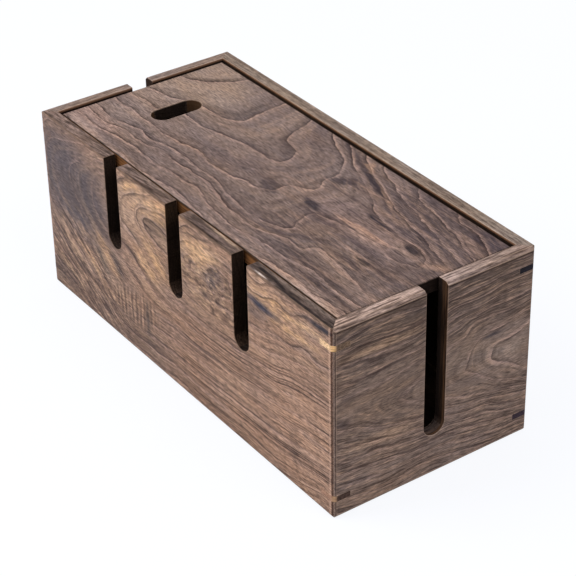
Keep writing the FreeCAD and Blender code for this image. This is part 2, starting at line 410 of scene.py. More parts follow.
    def cornered(self, colour, rim):
        """The rim's own colour, the chamfer at each corner with a painted highlight and dark
        lines, and a painted shade along the foot.
        """
        at_rim = self.mark("rim")
        colour = self.blend(self.times(at_rim, 0.9), colour, rim)
        from_end = self.off(ALONG_X, cad_high.x)
        from_side = self.off(ALONG_Y, cad_high.y)
        across = self.calc("SUBTRACT", from_end, from_side)
        corner = self.near(self.calc("ADD", from_end, from_side), 6.5)
        corner = self.calc("MINIMUM", self.times(corner, 3.0), 1.0)
        to_right = self.ramp(self.reach(ALONG_X), -150.0, 150.0, 0.35, 1.0)
        corner = self.times(corner, self.calc("SUBTRACT", 1.0, at_rim), to_right)
        # Across each corner chamfer: its own colour, a painted highlight beside it on the long
        # wall, and two dark lines.
        for middle, width, share, tone in (
            (0.0, 3.0, 0.7, tint(138, 116, 104)),
            (4.3, 1.9, 0.6, tint(204, 166, 144)),
            (1.6, 1.8, 0.9, tint(66, 40, 30)),
            (-1.9, 1.2, 0.8, tint(64, 48, 42)),
        ):
            line = self.near(self.calc("ABSOLUTE", self.calc("SUBTRACT", across, middle)), width)
            colour = self.blend(self.times(line, share, corner), colour, tone)
        # A painted shade along the foot, where the chamfer faces down.
        foot = self.near(self.reach(UPWARD), 4.5)
        return self.blend(self.times(foot, 0.75), colour, tint(52, 40, 32))

    def inside(self, start, end, below, above):
        """A painted shade on a wall's inner face, with painted light on the strip over the lid."""
        return self.blend(self.ramp(self.reach(UPWARD), start, end), below, above)

    def shade(self, colour, noise, low, high):
        """Makes a colour darker and lighter by a noise."""
        grey = self.ramp(noise, 0.3, 0.7, low, high)
        grey = self.step("CombineColor", grey, grey, grey)
        return self.blend(1.0, colour, grey, how="MULTIPLY")

    def oiled(self, place, colour, seed, gloss=0.14, flecks=0.38, wear_and_highlight=0.3, shaded=None,
              end_colour=tint(16, 10, 7)):
        """Fibres, pores and a satin oil over a board's colour, and lighter arrises, worn and with
        a painted highlight.

        flecks is how strong the short flecks are, and wear how light the arrises are. shaded is
        the colour of its inner faces, a painted shade as they get little light, and end_colour
        that of its end grain, which also paints the shade on a slot's foot.
        """
        hue = self.veined(
            place, (60.0, 16.0, 30.0), seed + 4, 0.35, 0.65,
            (0.97, 0.99, 1.04, 1.0), (1.04, 1.0, 0.95, 1.0), detail=2.0,
        )
        colour = self.blend(1.0, colour, hue, how="MULTIPLY")
        fleck = self.grain(place, (6.5, 1.2, 1.2), seed + 5)
        colour = self.shade(colour, fleck, 1.0 - flecks, 1.0 + flecks)
        fibre = self.grain(place, (11.0, 0.5, 0.5), seed + 1, detail=3.0)
        colour = self.shade(colour, fibre, 0.8, 1.2)
        pore = self.grain(place, (5.0, 0.4, 0.4), seed + 2, detail=1.0)
        pore_depth = self.ramp(pore, 0.58, 0.68)
        colour = self.blend(self.times(pore_depth, 0.55), colour, tint(42, 30, 28))
        curl = self.grain(place, (7.0, 40.0, 40.0), seed + 3)
        colour = self.shade(colour, curl, 0.92, 1.08)
        # Inner faces get a painted shade, lighter on the strip over the lid.
        if shaded is None:
            shaded = self.inside(162.6, 163.4, tint(16, 10, 6), tint(58, 36, 24))
        # Lighter arrises, worn and with a painted highlight; darker end grain, with a painted
        # shade on slot feet; a painted shade on inner faces.
        for mark, share, tone in (
            ("arris", wear_and_highlight, tint(196, 166, 144)),
            ("end_grain_and_slot_shade", 0.95, end_colour),
            ("inner", 0.93, shaded),
        ):
            colour = self.blend(self.times(self.mark(mark), share), colour, tone)
        relief = self.calc("SUBTRACT", self.times(fibre, 0.5), pore_depth)
        bump = self.step("Bump", named={"Strength": 0.6, "Distance": 0.12 * MM, "Height": relief})
        rough = self.scaled(pore_depth, 0.2, self.ramp(fibre, 0.3, 0.7, 0.5, 0.62))
        sheen = self.ramp(self.mark("end_grain_and_slot_shade"), 0.0, 1.0, gloss, 0.02)
        surface = self.step("BsdfPrincipled", named={
            "Base Color": colour, "Roughness": rough, "Normal": bump, "Specular IOR Level": sheen,
        })
        self.step("OutputMaterial", surface)
        return self.material


SMOKE = (98, 86, 86)
GOLD = (212, 168, 124)
BLUE_BLACK = (50, 46, 54)
UMBER = (70, 54, 48)
SAND = (186, 154, 128)
WANDER = [(2.0, (40, 24, 40)), (0.9, (12, 7, 16)), (0.3, (4, 2, 6))]
FLAME_TURN = math.radians(33)
RIM_SLANT = math.radians(9)
RIPPLE = 5.6
half_length = cad_high.x / MM

# How the board lies: along it, across it and inward, and how far its face is from the middle.
front_lay = (ALONG_X, UPWARD, ALONG_Y, -cad_low.y)
wood = Finish("walnut_front_wall")
flat = wood.board(*front_lay)
straight = wood.patch(flat, (140, 40), (240, 100), firm=2.5)
height, slope = wood.rings(flat, WANDER, wood.scaled(straight, -0.65, 1.0))
burl = wood.patch(flat, (50, 127), (52, 26))
knots = wood.calc("SUBTRACT", wood.grain(flat, (13, 8, 10), 7.0, detail=3.0), 0.5)
height = wood.scaled(wood.times(knots, burl), 2.2, height)
colour = wood.ground(flat, height, tint(165, 131, 110), tint(143, 112, 93), 1.0)
front_zones = [
    ((-165, 115), (125, 85), -15, 0.95, (92, 82, 84)),
    ((-130, 105), (70, 50), -30, 0.6, (80, 70, 72)),
    ((-120, 10), (170, 66), 0, 0.75, (106, 87, 78)),
    ((60, 0), (200, 30), 0, 0.4, (132, 104, 86)),
    ((-60, 140), (70, 45), 20, 0.5, SAND),
    ((40, 120), (70, 50), 0, 0.45, (118, 94, 78)),
    ((180, 149), (34, 8), 0, 0.5, SAND),
    ((50, 131), (24, 15), 40, 0.75, SMOKE),
    ((-26, 137), (38, 13), 10, 0.5, (86, 74, 70)),
    ((-28, 140), (24, 3.5), 6, 0.9, (62, 52, 48)),
    ((-14, 131), (22, 3), 8, 0.8, (68, 56, 50)),
    ((-16, 145), (16, 3), 4, 0.7, (66, 54, 48)),
    ((-25, 100), (40, 30), 0, 0.3, (108, 86, 74)),
    ((25, 102), (34, 24), 0, 0.3, (176, 144, 120)),
    ((-178, 62), (44, 34), 0, 0.35, (96, 78, 72)),
    ((-25, 60), (40, 30), 0, 0.25, (108, 88, 78)),
    ((78, 40), (50, 44), 0, 0.35, (190, 154, 130)),
    ((-125, 142), (56, 26), 0, 0.4, (98, 84, 82)),
    ((-150, 25), (80, 30), -20, 0.3, (110, 90, 84)),
    ((-70, 60), (60, 30), 0, 0.3, (112, 88, 76)),
    ((10, 60), (60, 40), 0, 0.2, (150, 116, 98)),
    ((110, 131), (24, 11), 0, 0.6, SMOKE),
    ((-39, 131), (12, 3), -5, 0.9, UMBER),
    ((-113, 62), (26, 9), -54, 0.95, (84, 72, 66)),
    ((-90, 69), (20, 9), -40, 0.95, (84, 72, 66)),
    ((-65, 94), (22, 3), -28, 0.7, UMBER),
    ((-62, 74), (18, 3), -28, 0.6, UMBER),
    ((-158, 53), (32, 4), -31, 0.8, SAND),
    ((-155, 43), (34, 5), -24, 0.85, UMBER),
    ((-168, 78), (26, 4), -28, 0.7, UMBER),
    ((-170, 30), (34, 4), -24, 0.8, SAND),
    ((-185, 22), (30, 20), 0, 0.5, UMBER),
    ((160, 66), (90, 60), 0, 0.45, (186, 148, 124)),
    ((152, 40), (9, 30), 0, 0.35, UMBER),
]
ragged = wood.drifting(flat, (16.0, 9.0, 0.0), (24.0, 10.0, 14.0), 4.0)
colour = wood.zoned(ragged, colour, front_zones, firm=1.25)
gold_zones = [
    ((-20, 152), (64, 16), 12, 1.0),
    ((32, 147), (42, 13), 12, 1.3),
    ((24, 136), (38, 16), 0, 1.0),
    ((125, 147), (62, 20), 0, 0.95),
    ((-62, 152), (26, 12), 10, 1.2),
    ((150, 136), (50, 6), 4, 1.2),
    ((158, 149), (54, 5), 2, 1.2),
    ((-32, 108), (34, 13), -36, 1.3),
    ((-42, 92), (34, 14), -25, 1.1),
    ((-108, 75), (36, 11), -42, 1.1),
    ((-128, 54), (36, 9), -35, 1.0),
]
gold_share = 0.0
for at, size, turn, share in gold_zones:
    oval = wood.times(wood.patch(ragged, at, size, turn), share)
    gold_share = wood.calc("MAXIMUM", oval, gold_share)
gold_grain = wood.ramp(wood.grain(flat, (11, 5, 8), 5.1, detail=4.0), 0.38, 0.6)
gold_streaks = wood.calc("MAXIMUM", wood.streaky(flat, height, 4.0, 5.3), gold_grain)
gold_share = wood.times(gold_share, wood.scaled(gold_streaks, 0.65, 0.15))
colour = wood.blend(wood.calc("MINIMUM", gold_share, 0.9), colour, tint(*GOLD))
crooked = wood.calc("SUBTRACT", 1.0, straight)
rough = wood.scaled(wood.patch(flat, (-165, 35), (70, 55)), 0.5, 0.5)
smooth = wood.patch(flat, (-155, 125), (80, 60))
streaks = wood.times(
    wood.streaky(flat, height, 2.2, 2.0), rough, wood.scaled(crooked, 0.85, 0.15),
    wood.scaled(smooth, -0.6, 1.0),
)
colour = wood.blend(streaks, colour, tint(74, 56, 50))
streaks = wood.times(
    wood.streaky(flat, height, 3.2, 2.7), 0.35, crooked, wood.scaled(smooth, -0.75, 1.0)
)
colour = wood.blend(streaks, colour, tint(190, 158, 132))
turned = wood.step("Mapping", flat, (0, 0, 0), (0, 0, FLAME_TURN), vector_type="POINT")
flames = wood.grain(turned, (21.0, 3.3, 9.0), 6.1, detail=4.0)
flamed = wood.patch(flat, (-142, 44), (100, 54), -22, firm=1.7)
colour = wood.spread(colour, tint(68, 51, 46), flames, 0.52, 0.61, 0.85, flamed)
colour = wood.spread(colour, tint(190, 156, 130), flames, 0.47, 0.38, 0.8, flamed)
gnarls = wood.grain(ragged, (9.0, 4.5, 7.0), 6.6, detail=5.0)
gnarled = wood.patch(flat, (40, 120), (90, 44), firm=1.4)
colour = wood.spread(colour, tint(74, 56, 48), gnarls, 0.53, 0.62, 0.75, gnarled)
colour = wood.spread(colour, tint(196, 160, 126), gnarls, 0.47, 0.37, 0.65, gnarled)
calm = wood.patch(flat, (-155, 120), (90, 75), firm=1.8)
colour = wood.lined(
    flat, colour, height, slope, 1.0, many=13.0, length=110.0,
    dark=wood.scaled(calm, -0.3, wood.scaled(straight, -0.25, 0.45)),
    light=wood.scaled(calm, -0.06, 0.24),
    fine=wood.scaled(straight, 0.6, wood.scaled(calm, -0.15, 0.25)),
)
along = wood.reach((1, 0, 0), flat)
ripple = wood.scaled(wood.grain(flat, (14, 30, 9), 3.0), 7.0, along)
ripple = wood.calc("SINE", wood.times(ripple, 2 * math.pi / RIPPLE))
broken = wood.ramp(wood.grain(flat, (7, 34, 6), 3.3), 0.36, 0.54)
rippled = wood.times(wood.patch(flat, (-65, 44), (50, 24), 8, firm=2.0), broken)
colour = wood.spread(colour, tint(82, 62, 51), ripple, -0.1, 0.9, 0.72, rippled)
colour = wood.spread(colour, tint(178, 142, 114), ripple, -0.2, -0.9, 0.45, rippled)
ink_and_shade_zones = [
    ((114, 138.5), (38, 7), -3, 1.0, (58, 56, 68)),
    ((39, 144), (36, 9), 13, 0.55, (228, 182, 138)),
    ((190, 159), (44, 5), 3, 1.0, BLUE_BLACK),
    ((-47, 41), (7, 34), 0, 0.7, (84, 72, 66)),
    ((30, 155), (34, 1.8), 12, 0.7, UMBER),
    # A painted shade along the top of the face, over the rim's chamfer.
    ((0, 163.8), (420, 2.3), 0, 0.8, (64, 45, 38)),
    ((150, 163.6), (80, 2.4), 0, 0.6, (60, 44, 38)),
]
colour = wood.zoned(flat, colour, ink_and_shade_zones)
slanted = wood.step("Mapping", flat, (0, 0, 0), (0, RIM_SLANT, 0), vector_type="POINT")
to_right = wood.ramp(along, -half_length, half_length)
pale = wood.blend(to_right, tint(152, 129, 120), tint(80, 67, 63))
toned = wood.blend(to_right, tint(88, 70, 62), tint(52, 43, 40))
rim = wood.veined(slanted, (26.0, 9.0, 2.0), 3.5, 0.4, 0.6, pale, toned)
on_rim = wood.step("CombineXYZ", along, wood.reach((0, 0, 1), flat), 0.0)
rim_zones = [
    ((44, 5.0), (46, 3.4), 0, 0.6, (118, 100, 96)),
    ((52, 9.4), (34, 2.6), -2, 0.8, (186, 160, 140)),
    ((40, 1.4), (36, 2.0), 0, 0.9, (44, 30, 26)),
    ((-48, 1.6), (40, 2.2), 0, 0.75, (60, 44, 38)),
    ((-40, 9.0), (34, 2.4), 0, 0.6, (150, 128, 116)),
    ((150, 8.6), (70, 3.6), 0, 0.8, (122, 106, 98)),
    ((112, 6.3), (17, 2.4), 0, 1.0, (30, 24, 26)),
    ((131, 4.6), (17, 2.2), -7, 1.0, (30, 24, 26)),
    ((165, 1.9), (44, 2.2), 0, 1.0, (34, 27, 28)),
    # A near-white painted highlight on the rim's outer edge.
    ((112, 1.6), (11, 1.3), 0, 0.85, (220, 204, 196)),
]
colour = wood.cornered(colour, wood.zoned(on_rim, rim, rim_zones, firm=1.6))
front_wood = wood.oiled(flat, colour, 1.0, flecks=0.52, wear_and_highlight=0.12)
front_drawing = [
    (-1, [(55, 131), (60, 134), (64, 130), (58, 127)]),
    (0, [(10, 131), (30, 127), (42, 131), (60, 140), (74, 134), (62, 120), (95, 133),
         (115, 137), (135, 139), (155, 141), (175, 142), (200, 143)]),
    (1, [(-25, 140), (-40, 139), (-47, 132), (-40, 126), (-25, 121), (0, 115), (30, 110),
         (60, 111), (100, 117), (130, 124), (165, 131), (200, 133), (20, 147), (60, 150),
         (110, 147), (150, 150), (200, 152)]),
    (2, [(-12, 153), (-30, 149), (-45, 145), (-53, 138), (-54, 130), (-48, 124), (-35, 116),
         (-25, 109), (-14, 102), (15, 96), (45, 95), (80, 98), (120, 104), (150, 112),
         (200, 116), (0, 148), (40, 158), (110, 157), (200, 161)]),
    (3, [(-35, 161), (-60, 152), (-75, 142), (-80, 130), (-78, 118), (-60, 110), (-45, 99),
         (-30, 89), (-10, 84), (30, 81), (80, 83), (130, 90), (160, 98), (200, 102)]),
    (4, [(-60, 164), (-80, 155), (-108, 146), (-118, 138), (-122, 127), (-122, 115),
         (-114, 104), (-98, 97), (-75, 97), (-58, 90), (-40, 77), (-10, 71), (40, 69),
         (90, 72), (150, 82), (200, 88)]),
    (5, [(-100, 158), (-120, 149), (-140, 143), (-150, 137), (-157, 125), (-155, 114),
         (-147, 104), (-130, 92), (-112, 82), (-98, 75), (-84, 66), (-68, 58), (-40, 55),
         (0, 57), (50, 58), (100, 61), (150, 68), (200, 74)]),
    (6, [(-128, 163), (-145, 158), (-162, 153), (-180, 148), (-192, 138), (-197, 120),
         (-194, 104), (-180, 90), (-160, 78), (-140, 66), (-124, 56), (-110, 45), (-95, 40),
         (-60, 38), (0, 43), (60, 46), (120, 50), (200, 60)]),
    (7, [(-170, 164), (-200, 152), (-200, 90), (-180, 73), (-160, 61), (-140, 49),
         (-122, 39), (-100, 30), (-60, 26), (0, 31), (80, 34), (200, 46)]),
    (8, [(-200, 72), (-175, 55), (-150, 42), (-130, 33), (-100, 21), (-50, 17), (0, 19),
         (80, 21), (200, 32)]),
    (9, [(-200, 52), (-175, 39), (-140, 26), (-100, 12), (-50, 6), (0, 7), (80, 8),
         (200, 18)]),
    (10, [(-200, 32), (-160, 20), (-120, 6), (200, 4)]),
]
front_board = sanded("front_wall_board", "front_wall", ALONG_X, ALONG_Y)
grown(front_board, *front_lay, front_drawing, softness=9.0, pitch=3.0)
fit(front_board, "front_wall", "box", front_wood)

# The back wall. A plainer board from the same plank, with no slots, mitred and ploughed like the
# front one. Only its rim and its inner edge show from the front.
UNLIT = tint(22, 12, 7)
back_lay = (-ALONG_X, UPWARD, -ALONG_Y, cad_high.y)
wood = Finish("walnut_back_wall")
flat = wood.board(*back_lay)
height, slope = wood.rings(flat, WANDER)
colour = wood.ground(flat, height, tint(150, 120, 102), tint(108, 84, 72), 5.0)
colour = wood.lined(flat, colour, height, slope, 5.0)
rim = wood.veined(
    flat, (60.0, 9.0, 2.0), 6.5, 0.4, 0.62, tint(146, 130, 118), tint(116, 100, 90)
)
colour = wood.cornered(colour, rim)
# The inner face gets a painted shade, with painted light on the strip over the lid.
inside = wood.inside(162.0, 163.2, UNLIT, tint(112, 78, 54))
back_wood = wood.oiled(flat, colour, 5.0, shaded=inside)
back_drawing = [
    (0.4, [(-200, 77), (-150, 79), (-100, 82), (-50, 86)]),
    (1, [(-200, 96), (-150, 102), (-100, 106), (-50, 106), (0, 103), (30, 90), (0, 76), (-50, 66),
         (-100, 60), (-150, 58), (-200, 58)]),
    (2, [(-200, 116), (-60, 126), (80, 116), (120, 94), (80, 66), (-60, 40), (-200, 42)]),
    (3, [(-200, 132), (0, 144), (150, 134), (200, 110), (160, 60), (0, 26), (-200, 28)]),
    (4, [(-200, 148), (0, 160), (200, 146), (200, 42), (0, 10), (-200, 14)]),
]
back_board = sanded("back_wall_board", "back_wall", ALONG_X, -ALONG_Y, rim_from=0.5)
grown(back_board, *back_lay, back_drawing, softness=14.0, pitch=3.4)
fit(back_board, "back_wall", "box", back_wood)

# The end walls. Two short boards with one deep slot each, mitred and glued to the long ones. The
# right one is grey-brown with wavy dark lines and a blunt arch of growth rings to the right of
# its slot. The left one, from the same plank, is plainer.
EARLY_GREY = tint(123, 103, 91)
LATE_GREY = tint(107, 89, 79)
CALM_WANDER = [(1.6, (60, 24, 40)), (0.5, (18, 8, 16)), (0.2, (6, 2.5, 6))]
half_width = cad_high.y / MM
right_lay = (ALONG_Y, UPWARD, -ALONG_X, cad_high.x)
wood = Finish("walnut_right_end_wall")
flat = wood.board(*right_lay)
height, slope = wood.rings(flat, CALM_WANDER)
colour = wood.ground(flat, height, EARLY_GREY, LATE_GREY, 8.0)
end_zones = [
    ((0, 165), (240, 76), 0, 0.85, (88, 72, 63)),
    ((0, 20), (220, 70), 0, 0.5, (142, 121, 110)),
    ((60, 85), (60, 50), 0, 0.5, (146, 125, 114)),
    ((-50, 135), (60, 5), 0, 0.5, SAND),
    ((-50, 56), (60, 7), -4, 0.4, SAND),
    ((40, 90), (60, 22), -8, 0.35, (150, 130, 116)),
    ((-50, 131), (60, 2), 0, 0.5, UMBER),
    ((-50, 115), (50, 3), 3, 0.6, UMBER),
    ((-84, 81), (14, 7), 0, 0.7, (84, 70, 68)),
    ((52, 103), (18, 3), 2, 0.8, BLUE_BLACK),
    ((55, 128), (50, 2), 3, 0.5, UMBER),
    ((38, 88), (14, 12), 0, 0.45, (92, 77, 70)),
    ((73, 84), (21, 13), 0, 0.35, (152, 136, 126)),
]
colour = wood.zoned(flat, colour, end_zones)
calm = wood.patch(flat, (20, 88), (150, 44), -4, firm=2.0)
arch = wood.patch(flat, (66, 90), (44, 34), firm=1.6)
colour = wood.lined(
    flat, colour, height, slope, 8.0, many=9.0, length=24.0,
    dark=wood.scaled(arch, 0.3, wood.scaled(calm, -0.25, 0.4)),
    light=wood.scaled(arch, 0.35, 0.2),
    fine=wood.scaled(calm, -0.4, 0.75),
)
# A painted shade in a band just under the rim.
shade_under_rim = [((0, 160.5), (420, 1.9), 0, 0.95, (44, 28, 22))]
colour = wood.zoned(flat, colour, shade_under_rim)
to_back = wood.ramp(wood.reach((1, 0, 0), flat), -half_width, half_width)
pale = wood.blend(to_back, tint(208, 180, 168), tint(166, 144, 134))
rim = wood.veined(flat, (30.0, 9.0, 1.6), 9.5, 0.44, 0.6, pale, tint(100, 82, 75))
depth = wood.reach((0, 0, 1), flat)
# The rim darker over its outer chamfer, a painted shade.
rim = wood.blend(wood.ramp(depth, 1.4, 2.8, 0.3, 0.0), rim, tint(70, 50, 44))
colour = wood.cornered(colour, rim)
slot_side = wood.veined(
    flat, (30.0, 30.0, 1.4), 9.7, 0.42, 0.64, tint(46, 32, 24), tint(104, 74, 52), detail=2.0
)
# Darker deeper into the slot, a painted shade.
slot_side = wood.blend(wood.ramp(depth, 2.0, 8.0), slot_side, tint(32, 25, 23))
right_wood = wood.oiled(flat, colour, 8.0, end_colour=slot_side)
right_drawing = [
    (1, [(91, 101), (82, 97), (69, 94), (60, 94), (54, 93), (53, 87), (51, 81), (60, 77),
         (70, 72), (80, 65), (91, 59)]),
    (2, [(91, 112), (75, 109), (55, 107), (40, 104), (34, 98), (31, 88), (26, 80), (40, 74),
         (50, 67), (60, 61), (75, 56), (91, 51)]),
    (3, [(91, 121), (50, 120), (34, 118), (28, 111), (15, 107), (-31, 80), (-18, 75),
         (-9, 69), (15, 63), (35, 58), (60, 52), (91, 45)]),
    (3.5, [(-25, 98), (-60, 92), (-91, 88)]),
    (4, [(91, 129), (49, 127), (30, 125), (12, 121), (-11, 109), (-40, 104), (-70, 103),
         (-91, 102), (-91, 80), (-71, 74), (-51, 66), (-31, 61), (-9, 57), (20, 52), (50, 47),
         (91, 40)]),
    (5, [(91, 135), (40, 132), (9, 129), (-11, 118), (-31, 117), (-55, 115), (-72, 113),
         (-91, 113), (-91, 65), (-51, 55), (-11, 48), (15, 47), (49, 42), (91, 33)]),
    (6, [(91, 143), (49, 140), (9, 138), (-11, 131), (-40, 129), (-65, 130), (-91, 131),
         (-91, 51), (-51, 46), (-11, 40), (15, 40), (49, 35), (91, 26)]),
    (7, [(91, 151), (9, 148), (-11, 141), (-91, 141), (-91, 39), (-11, 32), (91, 20)]),
    (8, [(91, 158), (9, 156), (-11, 151), (-91, 151), (-91, 28), (-11, 24), (91, 13)]),
    (9, [(91, 166), (-91, 161), (-91, 17), (0, 14), (91, 5)]),
    (10, [(-91, 6), (0, 4), (91, -3)]),
]
right_board = sanded("right_end_wall_board", "right_end_wall", ALONG_Y, -ALONG_X, rim_from=0.5)
grown(right_board, *right_lay, right_drawing, softness=7.0, pitch=3.0)
fit(right_board, "right_end_wall", "box", right_wood)

left_lay = (-ALONG_Y, UPWARD, ALONG_X, cad_high.x)
wood = Finish("walnut_left_end_wall")
flat = wood.board(*left_lay)
height, slope = wood.rings(flat, CALM_WANDER)
colour = wood.ground(flat, height, EARLY_GREY, LATE_GREY, 12.0)
colour = wood.lined(
    flat, colour, height, slope, 12.0, dark=0.4, light=0.2, fine=0.6, many=9.0, length=24.0
)
# The same painted shade under the rim.
colour = wood.zoned(flat, colour, shade_under_rim)
rim = wood.veined(
    flat, (36.0, 9.0, 1.6), 13.5, 0.42, 0.62, tint(150, 130, 120), tint(116, 98, 90)
)
colour = wood.cornered(colour, rim)
# The inner face gets a painted shade, with painted light on the strip over the lid.
inside = wood.inside(161.6, 163.2, UNLIT, tint(118, 84, 64))
left_wood = wood.oiled(flat, colour, 12.0, shaded=inside, end_colour=tint(46, 31, 22))
left_drawing = [
    (0, [(-91, 70), (-50, 74), (-30, 68), (-50, 60), (-91, 58)]),
    (1, [(-91, 88), (-30, 90), (20, 78), (30, 66), (10, 54), (-91, 44)]),
    (2, [(-91, 104), (-20, 106), (60, 92), (91, 66), (50, 44), (-91, 30)]),
    (3, [(-91, 122), (0, 122), (91, 104), (91, 34), (0, 26), (-91, 16)]),
    (4, [(-91, 140), (0, 138), (91, 124), (91, 18), (-91, 2)]),
    (5, [(-91, 158), (0, 154), (91, 144), (91, 2)]),
]
left_board = sanded("left_end_wall_board", "left_end_wall", ALONG_Y, ALONG_X, rim_from=0.5)
grown(left_board, *left_lay, left_drawing, softness=10.0, pitch=3.2)
fit(left_board, "left_end_wall", "box", left_wood)

# The bottom. A sheet of plywood with walnut faces, cut square and slid into the groove that
# runs round the walls. It floats there, unglued. Its dark colour is the walnut's with a painted
# shade over it, as it lies deep in the box.
ply_lay = (ALONG_X, ALONG_Y, UPWARD, 0.0)
wood = Finish("walnut_plywood")
flat = wood.board(*ply_lay)
height, slope = wood.rings(flat, WANDER)
# Walnut darkened by a painted shade.
colour = wood.ground(flat, height, tint(58, 44, 36), tint(44, 34, 28), 15.0)
colour = wood.lined(flat, colour, height, slope, 15.0, dark=0.3, light=0.1, fine=0.1)
ply_wood = wood.oiled(flat, colour, 15.0, end_colour=tint(90, 66, 46))
ply_drawing = [
    (0, [(-190, 0), (-60, 10), (20, -4), (-60, -22), (-190, -20)]),
    (1, [(-190, 30), (0, 36), (120, 4), (0, -44), (-190, -46)]),
    (2, [(-190, 60), (60, 62), (190, 20), (160, -30), (0, -68), (-190, -70)]),
    (3, [(-190, 84), (190, 60), (190, -60)]),
]
ply = sanded("plywood_bottom", "bottom_panel", ALONG_X)
grown(ply, *ply_lay, ply_drawing, softness=20.0, pitch=8.0)
fit(ply, "bottom_panel", "box", ply_wood)

# The corner keys. Thin splines of offcuts glued into a kerf across each mitre, and sawn and sanded
# flush with both walls. Most are nearly black. Those of the front right corner are lighter on
# their front and chamfer faces: a golden wedge at the top and a tan spot at the foot.
KEY_EDGE = 0.1 * MM
HALVED = 0.707
INK = tint(34, 32, 38)
PLUM = tint(60, 50, 58)
TAN = tint(176, 142, 112)
OLIVE = tint(104, 85, 70)
COCOA = tint(70, 55, 50)
key_woods = {
    "front_left_upper": (TAN, tint(118, 98, 90), INK),
    "front_left_lower": (COCOA, tint(100, 84, 78), INK),
    "front_right_upper": (tint(216, 172, 120), tint(226, 188, 146), OLIVE),
    "front_right_lower": (TAN, tint(160, 126, 108), COCOA),
    "back_right_upper": (INK, INK, INK),
    "back_right_lower": (PLUM, PLUM, PLUM),
    "back_left_upper": (INK, INK, INK),
    "back_left_lower": (PLUM, PLUM, PLUM),
}
for number, (corner, (chamfer_tone, side_tone, end_tone)) in enumerate(key_woods.items()):
    wood = Finish("key_wood_" + corner)
    flat = wood.board((HALVED, HALVED, 0), UPWARD, (HALVED, -HALVED, 0), 0.0)
    on_end = wood.ramp(wood.off(ALONG_Y, cad_high.y), 1.6, 3.6)
    on_side = wood.ramp(wood.off(ALONG_X, cad_high.x), 1.6, 3.6)
    colour = wood.blend(on_end, chamfer_tone, end_tone)
    colour = wood.blend(on_side, colour, side_tone)
    toned = wood.oiled(flat, colour, 20.0 + number, gloss=0.03)
    node = "corner_key_" + corner
    key = sanded("spline_" + corner, node, UPWARD, width=lambda place: KEY_EDGE)
    fit(key, node, "box", toned)

# The cleats. Four walnut blocks glued to the end walls, level with each other, that the lid
# lies on.
wood = Finish("walnut_cleats")
flat = wood.board(ALONG_Y, UPWARD, ALONG_X, 0.0)
height = wood.times(wood.grain(flat, (90.0, 6.0, 6.0), 25.0), 6.0)
colour = wood.ground(flat, height, EARLY_GREY, LATE_GREY, 25.0)
colour = wood.lined(flat, colour, height, 0.3, 25.0)
cleat_wood = wood.oiled(flat, colour, 25.0)
for end in ("left", "right"):
    for side in ("front", "back"):
        place = "%s_%s" % (end, side)
        cleat = sanded("cleat_" + place, "lid_cleat_" + place, ALONG_Y)
        fit(cleat, "lid_cleat_" + place, "box", cleat_wood)

# The lid. One wide flat-sawn board that drops in between the walls with 2 mm all round, and has
# a round-ended finger slot near its left end. Its growth rings make long tongues that point to
# the right, with pale ring lines on a grey, faintly pink ground and dark streaks at the right.
LID_EDGE = 1.2 * MM
lid_low, lid_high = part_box("lid")
lid_lay = (ALONG_X, ALONG_Y, -UPWARD, lid_high.z)
wood = Finish("walnut_lid")
flat = wood.board(*lid_lay)
height, slope = wood.rings(flat, [(2.0, (30, 16, 40)), (1.0, (9, 6, 16)), (0.4, (3, 1.5, 6))])
colour = wood.ground(flat, height, tint(136, 116, 108), tint(114, 96, 92), 30.0)
lid_zones = [
    ((-175, 40), (100, 75), 0, 0.65, (168, 144, 128)),
    ((-180, -30), (60, 70), 0, 0.5, (158, 136, 126)),
    ((-170, -60), (60, 16), 0, 0.4, (184, 150, 138)),
    ((140, 50), (110, 50), -14, 0.6, (84, 70, 72)),
    ((160, -10), (60, 40), 0, 0.3, (96, 80, 78)),
    ((100, 10), (90, 26), 0, 0.35, (156, 128, 118)),
    ((60, 54), (48, 5), -19, 1.0, (56, 47, 52)),
    ((10, 70), (40, 5), -20, 0.7, (70, 60, 64)),
    ((40, 40), (20, 8), 40, 0.8, (66, 56, 60)),
    ((106, 22), (28, 5.5), -4, 1.0, (56, 47, 52)),
    ((125, 38), (52, 4.5), -12, 0.85, (60, 50, 54)),
    ((118, 56), (60, 4), -13, 0.6, (64, 54, 58)),
    ((148, 19), (15, 4.5), 0, 0.9, (60, 50, 52)),
    ((141, -20), (16, 5), 0, 0.95, (70, 56, 54)),
    ((176, 16), (18, 6), 30, 0.7, (180, 146, 128)),
    ((52, -1), (16, 6), -10, 0.95, (58, 50, 56)),
    ((10, -10), (18, 11), -30, 0.7, (66, 56, 60)),
    ((100, -8), (60, 5), 0, 0.5, (84, 68, 68)),
    ((112, -28), (24, 8), 0, 0.5, (84, 70, 68)),
    ((120, -52), (70, 7), -3, 0.7, (70, 58, 58)),
    ((145, -63), (70, 5), 0, 0.8, (66, 54, 54)),
    ((140, -73), (70, 4), 0, 0.7, (178, 148, 132)),
    ((176, 70), (34, 18), 0, 0.8, (66, 55, 62)),
    ((108, 6), (48, 4.5), 5, 0.8, (182, 146, 128)),
    ((34, 68), (14, 5), -40, 0.7, (184, 148, 126)),
    ((80, 48), (44, 3), -26, 0.6, (178, 144, 126)),
    ((128, -38), (34, 5), -6, 0.8, (178, 148, 132)),
    ((0, -76), (230, 5), 0, 0.5, (172, 146, 134)),
    ((-165, -75), (60, 9), 0, 0.5, (190, 160, 146)),
    ((165, -77), (60, 5), 0, 0.7, (204, 172, 154)),
    ((90, -35), (150, 34), 0, 0.3, (92, 78, 74)),
    ((187, 0), (14, 90), 0, 0.35, (84, 68, 64)),
]
ragged = wood.drifting(flat, (20.0, 7.0, 0.0), (26.0, 7.0, 14.0), 31.0)
